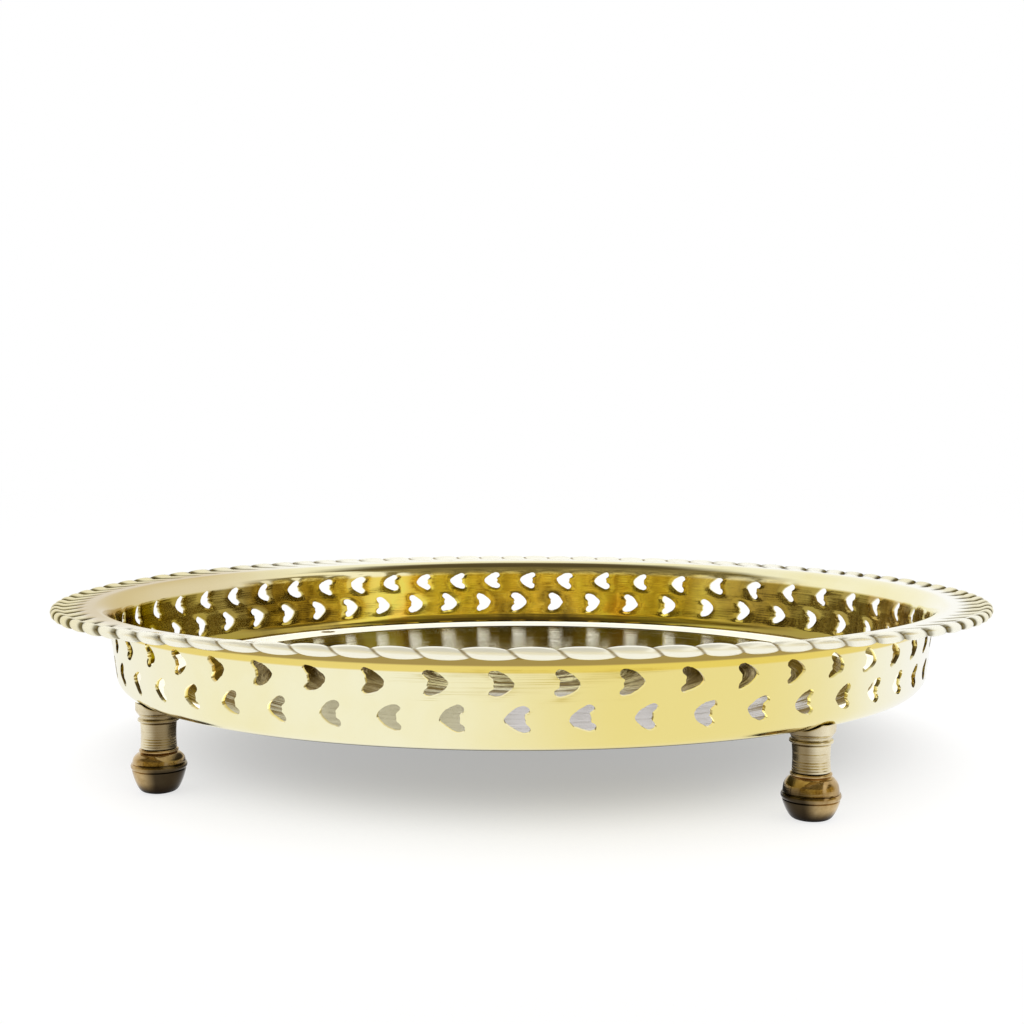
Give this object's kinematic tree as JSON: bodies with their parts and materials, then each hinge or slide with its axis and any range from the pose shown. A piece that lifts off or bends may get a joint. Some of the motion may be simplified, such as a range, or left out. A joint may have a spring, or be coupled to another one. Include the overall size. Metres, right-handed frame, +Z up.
{
  "type": "footed tray",
  "caption": "Round brass tray with a pierced wall and a fluted edge, standing on turned ball feet.",
  "frame": {"origin": "on the tray's axis, in the plane its feet stand on", "axes": "+Z up along the tray's axis, -Y towards the viewer, +X to the viewer's right"},
  "size_m": [0.305, 0.305, 0.0548],
  "materials": {
    "polished_brass": "polished",
    "aged_brass": "antique, polished",
    "turned_brass": "turned, satin",
    "screw_brass": "machined"
  },
  "bodies": {
    "root": {"tray_body": "polished_brass", "foot_ball_front_left": "aged_brass", "foot_ball_front_right": "aged_brass", "foot_ball_back_right": "aged_brass", "foot_ball_back_left": "aged_brass", "leg_column_front_left": "turned_brass", "leg_column_front_right": "turned_brass", "leg_column_back_right": "turned_brass", "leg_column_back_left": "turned_brass", "leg_collar_front_left": "turned_brass", "leg_collar_front_right": "turned_brass", "leg_collar_back_right": "turned_brass", "leg_collar_back_left": "turned_brass", "leg_screw_front_left": "screw_brass", "leg_screw_front_right": "screw_brass", "leg_screw_back_right": "screw_brass", "leg_screw_back_left": "screw_brass"}
  },
  "joints": []
}
